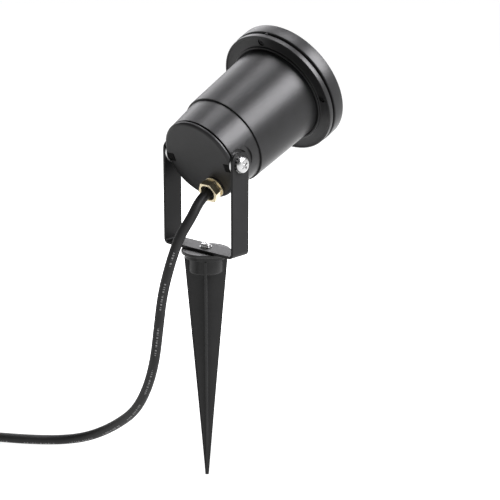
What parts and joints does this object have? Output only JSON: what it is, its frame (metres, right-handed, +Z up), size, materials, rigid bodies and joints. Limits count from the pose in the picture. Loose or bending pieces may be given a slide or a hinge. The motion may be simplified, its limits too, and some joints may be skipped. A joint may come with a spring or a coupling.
{
  "type": "garden spike spotlight",
  "caption": "Cylindrical spotlight head that tilts in a U bracket on a swivelling ground spike, with a cable gland and a free mains lead.",
  "frame": {"origin": "on the spike's axis at ground level, under the spike's top rim", "axes": "+Z up along the spike; the lamp shines towards -Y and up; the tilt axis runs along X"},
  "size_m": [0.3599, 0.2308, 0.3369],
  "materials": {
    "spike_plastic": "moulded, matte",
    "powder_coat": "fine satin powder coat",
    "bracket_coat": "fine satin powder coat",
    "stainless": "bright",
    "gland_brass": "plated, bright",
    "black_rubber": "matte",
    "cord_rubber": "matte sheath",
    "bush_plastic": "moulded",
    "clear_glass": "clear, toughened",
    "lamp_shell": "bright reflector shell",
    "lamp_diffuser": "frosted",
    "lamp_capsule": "warm phosphor",
    "ceramic": "glazed ceramic",
    "terminal_plastic": "natural",
    "core_brown": "insulation",
    "core_blue": "insulation",
    "core_green": "insulation, green and yellow",
    "nickel": "plated"
  },
  "bodies": {
    "spike": {"ground_spike": "spike_plastic", "spike_cap": "spike_plastic", "pan_nut": "stainless", "pan_screw": "stainless", "pan_washer": "stainless"},
    "bracket": {"u_bracket": "bracket_coat", "tooth_washers": "stainless", "flat_washers": "stainless", "power_cord": "cord_rubber", "cord_coil": "cord_rubber", "cord_tail": "cord_rubber", "cord_tie": "bush_plastic", "plug_body": "black_rubber", "plug_pins": "nickel", "plug_earth_clips": "nickel"},
    "head": {"rear_housing": "powder_coat", "rear_cover": "powder_coat", "cover_seal": "black_rubber", "pivot_bushes": "bush_plastic", "pivot_screws": "stainless", "front_barrel": "powder_coat", "barrel_ring": "black_rubber", "flange_seal": "black_rubber", "bezel_ring": "powder_coat", "bezel_screws": "stainless", "glass_seal": "black_rubber", "front_glass": "clear_glass", "gland_body": "gland_brass", "gland_ring": "black_rubber", "gland_nut": "gland_brass", "gland_seal": "black_rubber", "cord_entry": "cord_rubber", "holder_strap": "stainless", "strap_screws": "stainless", "holder_screws": "stainless", "lamp_holder": "ceramic", "lamp_pins": "nickel", "lamp_body": "lamp_shell", "lamp_capsule": "lamp_capsule", "lamp_lens": "lamp_diffuser", "terminal_block": "terminal_plastic", "terminal_screws": "nickel", "earth_tag": "nickel", "earth_screw": "stainless", "core_live": "core_brown", "core_neutral": "core_blue", "core_earth": "core_green", "lead_live": "core_brown", "lead_neutral": "core_blue", "lead_earth": "core_green"}
  },
  "joints": [
    {"name": "pan", "type": "hinge", "parent": "spike", "child": "bracket", "pos_m": [0, 0, 0], "axis": [0, 0, 1], "range_deg": [-170, 170]},
    {"name": "tilt", "type": "hinge", "parent": "bracket", "child": "head", "pos_m": [0, 0, 0.0756], "axis": [-1, 0, 0], "range_deg": [-38.5, 66.5], "deforming": ["power_cord"]}
  ]
}
